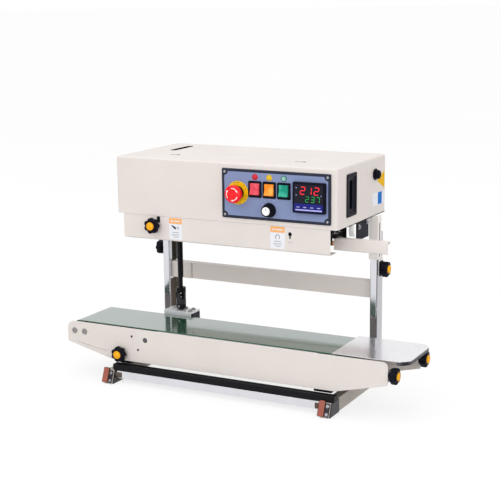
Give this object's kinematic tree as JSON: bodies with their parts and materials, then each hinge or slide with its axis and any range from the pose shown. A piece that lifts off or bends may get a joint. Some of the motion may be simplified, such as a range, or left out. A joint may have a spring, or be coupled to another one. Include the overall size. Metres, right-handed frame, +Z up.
{
  "type": "continuous band sealer",
  "caption": "Bench-top continuous band sealer: cream sealing head with control panel on two chrome posts, over a flat-belt conveyor with an infeed tray.",
  "frame": {"origin": "on the floor, at the centre of the machine's bounding box", "axes": "+X towards the infeed end, +Y to the rear, +Z up"},
  "size_m": [0.933, 0.372, 0.575],
  "materials": {
    "cream_paint": "cream powder coat",
    "chrome": "polished chrome plate",
    "black_steel": "black oxide and black enamel",
    "steel": "brushed steel",
    "aluminium": "machined",
    "copper": "copper-coloured block",
    "black_plastic": "moulded black plastic",
    "belt": "glossy dark green conveyor belt",
    "band": "coated woven sealing band",
    "panel": "periwinkle overlay with a dark border",
    "red_plastic": "gloss",
    "orange_plastic": "gloss",
    "green_plastic": "gloss",
    "yellow_plastic": "satin",
    "rubber": "rubber tread"
  },
  "bodies": {
    "base": {"left_foot": "cream_paint", "right_foot": "cream_paint", "front_rail": "black_steel", "sill_rail": "chrome", "rear_rail": "black_steel", "left_post": "chrome", "right_post": "chrome", "crossbar": "cream_paint"},
    "head": {"head_cover": "cream_paint", "head_base_plate": "steel", "left_sleeve": "cream_paint", "right_sleeve": "cream_paint", "front_guard": "cream_paint", "side_plate": "black_plastic", "infeed_guide": "cream_paint", "side_handle": "black_plastic", "control_panel": "panel", "temperature_controller": "black_plastic", "estop_collar": "yellow_plastic", "heating_block_front": "aluminium", "heating_block_rear": "aluminium", "cooling_block_front": "copper", "cooling_block_rear": "copper", "gear_motor": "black_steel", "front_band": "band", "rear_band": "band"},
    "conveyor": {"front_side_plate": "cream_paint", "rear_side_plate": "cream_paint", "slider_bed": "steel", "left_carrier": "black_steel", "right_carrier": "black_steel", "conveyor_belt": "belt", "gearbox_bracket": "chrome", "infeed_tray": "steel"},
    "estop_button": {"estop_button": "red_plastic"},
    "speed_knob": {"speed_knob": "black_plastic"},
    "rocker_red": {"rocker_red": "red_plastic"},
    "rocker_orange": {"rocker_orange": "orange_plastic"},
    "rocker_green": {"rocker_green": "green_plastic"},
    "front_drive": {"front_drive_wheel": "aluminium", "front_gear": "steel"},
    "rear_drive": {"rear_drive_wheel": "aluminium", "rear_gear": "steel"},
    "front_idle": {"front_idle_wheel": "aluminium"},
    "rear_idle": {"rear_idle_wheel": "aluminium"},
    "emboss_wheel": {"emboss_wheel": "steel"},
    "press_wheel": {"press_wheel": "rubber"},
    "emboss_knob": {"emboss_knob": "black_plastic"},
    "left_post_knob": {"left_post_knob": "black_plastic"},
    "right_post_knob": {"right_post_knob": "black_plastic"},
    "shaft_hanger": {"shaft_hanger": "steel"},
    "shaft_tube": {"shaft_tube": "black_steel"},
    "shaft_rod": {"shaft_rod": "black_steel"},
    "bevel_shaft": {"bevel_shaft": "black_steel"},
    "drive_drum": {"drive_drum": "steel"},
    "left_roller": {"left_roller": "steel"},
    "right_roller": {"right_roller": "steel"},
    "conveyor_knob": {"conveyor_knob": "black_plastic"},
    "front_end_knob": {"front_end_knob": "black_plastic"},
    "rear_end_knob": {"rear_end_knob": "black_plastic"}
  },
  "joints": [
    {"name": "head_lift", "type": "slide", "parent": "base", "child": "head", "axis": [0, 0, 1], "range_m": [-0.025, 0.035]},
    {"name": "conveyor_shift", "type": "slide", "parent": "base", "child": "conveyor", "axis": [0, 1, 0], "range_m": [-0.012, 0.012]},
    {"name": "estop_press", "type": "slide", "parent": "head", "child": "estop_button", "axis": [0, 1, 0], "range_m": [0, 0.004]},
    {"name": "speed_turn", "type": "hinge", "parent": "head", "child": "speed_knob", "pos_m": [0.1065, -0.117, 0.4685], "axis": [0, 1, 0], "range_deg": [-140, 140]},
    {"name": "rocker_red_tip", "type": "hinge", "parent": "head", "child": "rocker_red", "pos_m": [0.069, -0.117, 0.516], "axis": [1, 0, 0], "range_deg": [0, 14]},
    {"name": "rocker_orange_tip", "type": "hinge", "parent": "head", "child": "rocker_orange", "pos_m": [0.1065, -0.117, 0.516], "axis": [1, 0, 0], "range_deg": [0, 14]},
    {"name": "rocker_green_tip", "type": "hinge", "parent": "head", "child": "rocker_green", "pos_m": [0.1445, -0.117, 0.516], "axis": [1, 0, 0], "range_deg": [0, 14]},
    {"name": "front_drive_spin", "type": "hinge", "parent": "head", "child": "front_drive", "pos_m": [-0.1145, -0.0755, 0.404], "axis": [0, 0, 1], "continuous": true},
    {"name": "rear_drive_spin", "type": "hinge", "parent": "head", "child": "rear_drive", "pos_m": [-0.1145, -0.0165, 0.404], "axis": [0, 0, 1], "continuous": true},
    {"name": "front_idle_spin", "type": "hinge", "parent": "head", "child": "front_idle", "pos_m": [0.1785, -0.0755, 0.404], "axis": [0, 0, 1], "continuous": true},
    {"name": "rear_idle_spin", "type": "hinge", "parent": "head", "child": "rear_idle", "pos_m": [0.1785, -0.0165, 0.404], "axis": [0, 0, 1], "continuous": true},
    {"name": "emboss_spin", "type": "hinge", "parent": "head", "child": "emboss_wheel", "pos_m": [-0.2155, -0.07055, 0.404], "axis": [0, 0, 1], "continuous": true},
    {"name": "press_spin", "type": "hinge", "parent": "head", "child": "press_wheel", "pos_m": [-0.2155, -0.02145, 0.404], "axis": [0, 0, 1], "continuous": true},
    {"name": "emboss_knob_turn", "type": "hinge", "parent": "head", "child": "emboss_knob", "pos_m": [-0.2155, -0.113, 0.408], "axis": [0, -1, 0], "range_deg": [0, 360]},
    {"name": "left_post_knob_turn", "type": "hinge", "parent": "head", "child": "left_post_knob", "pos_m": [-0.3345, 0.131, 0.296], "axis": [-1, 0, 0], "range_deg": [0, 360]},
    {"name": "right_post_knob_turn", "type": "hinge", "parent": "head", "child": "right_post_knob", "pos_m": [0.2915, 0.131, 0.296], "axis": [1, 0, 0], "range_deg": [0, 360]},
    {"name": "shaft_tilt", "type": "hinge", "parent": "head", "child": "shaft_hanger", "pos_m": [-0.2315, 0.036, 0.459], "axis": [1, 0, 0], "range_deg": [-2.8, 2.8]},
    {"name": "shaft_spin", "type": "hinge", "parent": "shaft_hanger", "child": "shaft_tube", "pos_m": [-0.2315, 0.036, 0.459], "axis": [0, 0, 1], "continuous": true},
    {"name": "shaft_telescope", "type": "slide", "parent": "shaft_tube", "child": "shaft_rod", "axis": [0, 0, 1], "range_m": [-0.035, 0.025]},
    {"name": "bevel_spin", "type": "hinge", "parent": "conveyor", "child": "bevel_shaft", "pos_m": [-0.2315, 0.036, 0.15], "axis": [0, 0, 1], "continuous": true},
    {"name": "drum_spin", "type": "hinge", "parent": "conveyor", "child": "drive_drum", "pos_m": [-0.2315, -0.067, 0.117], "axis": [0, -1, 0], "continuous": true},
    {"name": "left_roller_spin", "type": "hinge", "parent": "conveyor", "child": "left_roller", "pos_m": [-0.4285, -0.067, 0.117], "axis": [0, -1, 0], "continuous": true},
    {"name": "right_roller_spin", "type": "hinge", "parent": "conveyor", "child": "right_roller", "pos_m": [0.2785, -0.067, 0.117], "axis": [0, -1, 0], "continuous": true},
    {"name": "conveyor_knob_turn", "type": "hinge", "parent": "conveyor", "child": "conveyor_knob", "pos_m": [-0.3035, -0.1463, 0.076], "axis": [0, -1, 0], "range_deg": [0, 360]},
    {"name": "front_end_knob_turn", "type": "hinge", "parent": "conveyor", "child": "front_end_knob", "pos_m": [0.4188, -0.135, 0.112], "axis": [1, 0, 0], "range_deg": [0, 360]},
    {"name": "rear_end_knob_turn", "type": "hinge", "parent": "conveyor", "child": "rear_end_knob", "pos_m": [0.4408, 0.003, 0.1185], "axis": [1, 0, 0], "range_deg": [0, 360]}
  ],
  "couplings": [
    {"joint": "left_roller_spin", "follows": "drum_spin", "ratio": 1},
    {"joint": "right_roller_spin", "follows": "drum_spin", "ratio": 1},
    {"joint": "bevel_spin", "follows": "drum_spin", "ratio": -1},
    {"joint": "shaft_spin", "follows": "drum_spin", "ratio": -1},
    {"joint": "front_drive_spin", "follows": "drum_spin", "ratio": 1},
    {"joint": "rear_drive_spin", "follows": "drum_spin", "ratio": -1},
    {"joint": "front_idle_spin", "follows": "drum_spin", "ratio": 1},
    {"joint": "rear_idle_spin", "follows": "drum_spin", "ratio": -1},
    {"joint": "emboss_spin", "follows": "drum_spin", "ratio": 1.2},
    {"joint": "press_spin", "follows": "drum_spin", "ratio": -1.2},
    {"joint": "shaft_tilt", "follows": "conveyor_shift", "rad_per_m": 3.7736},
    {"joint": "shaft_telescope", "follows": "head_lift", "ratio": -1}
  ]
}
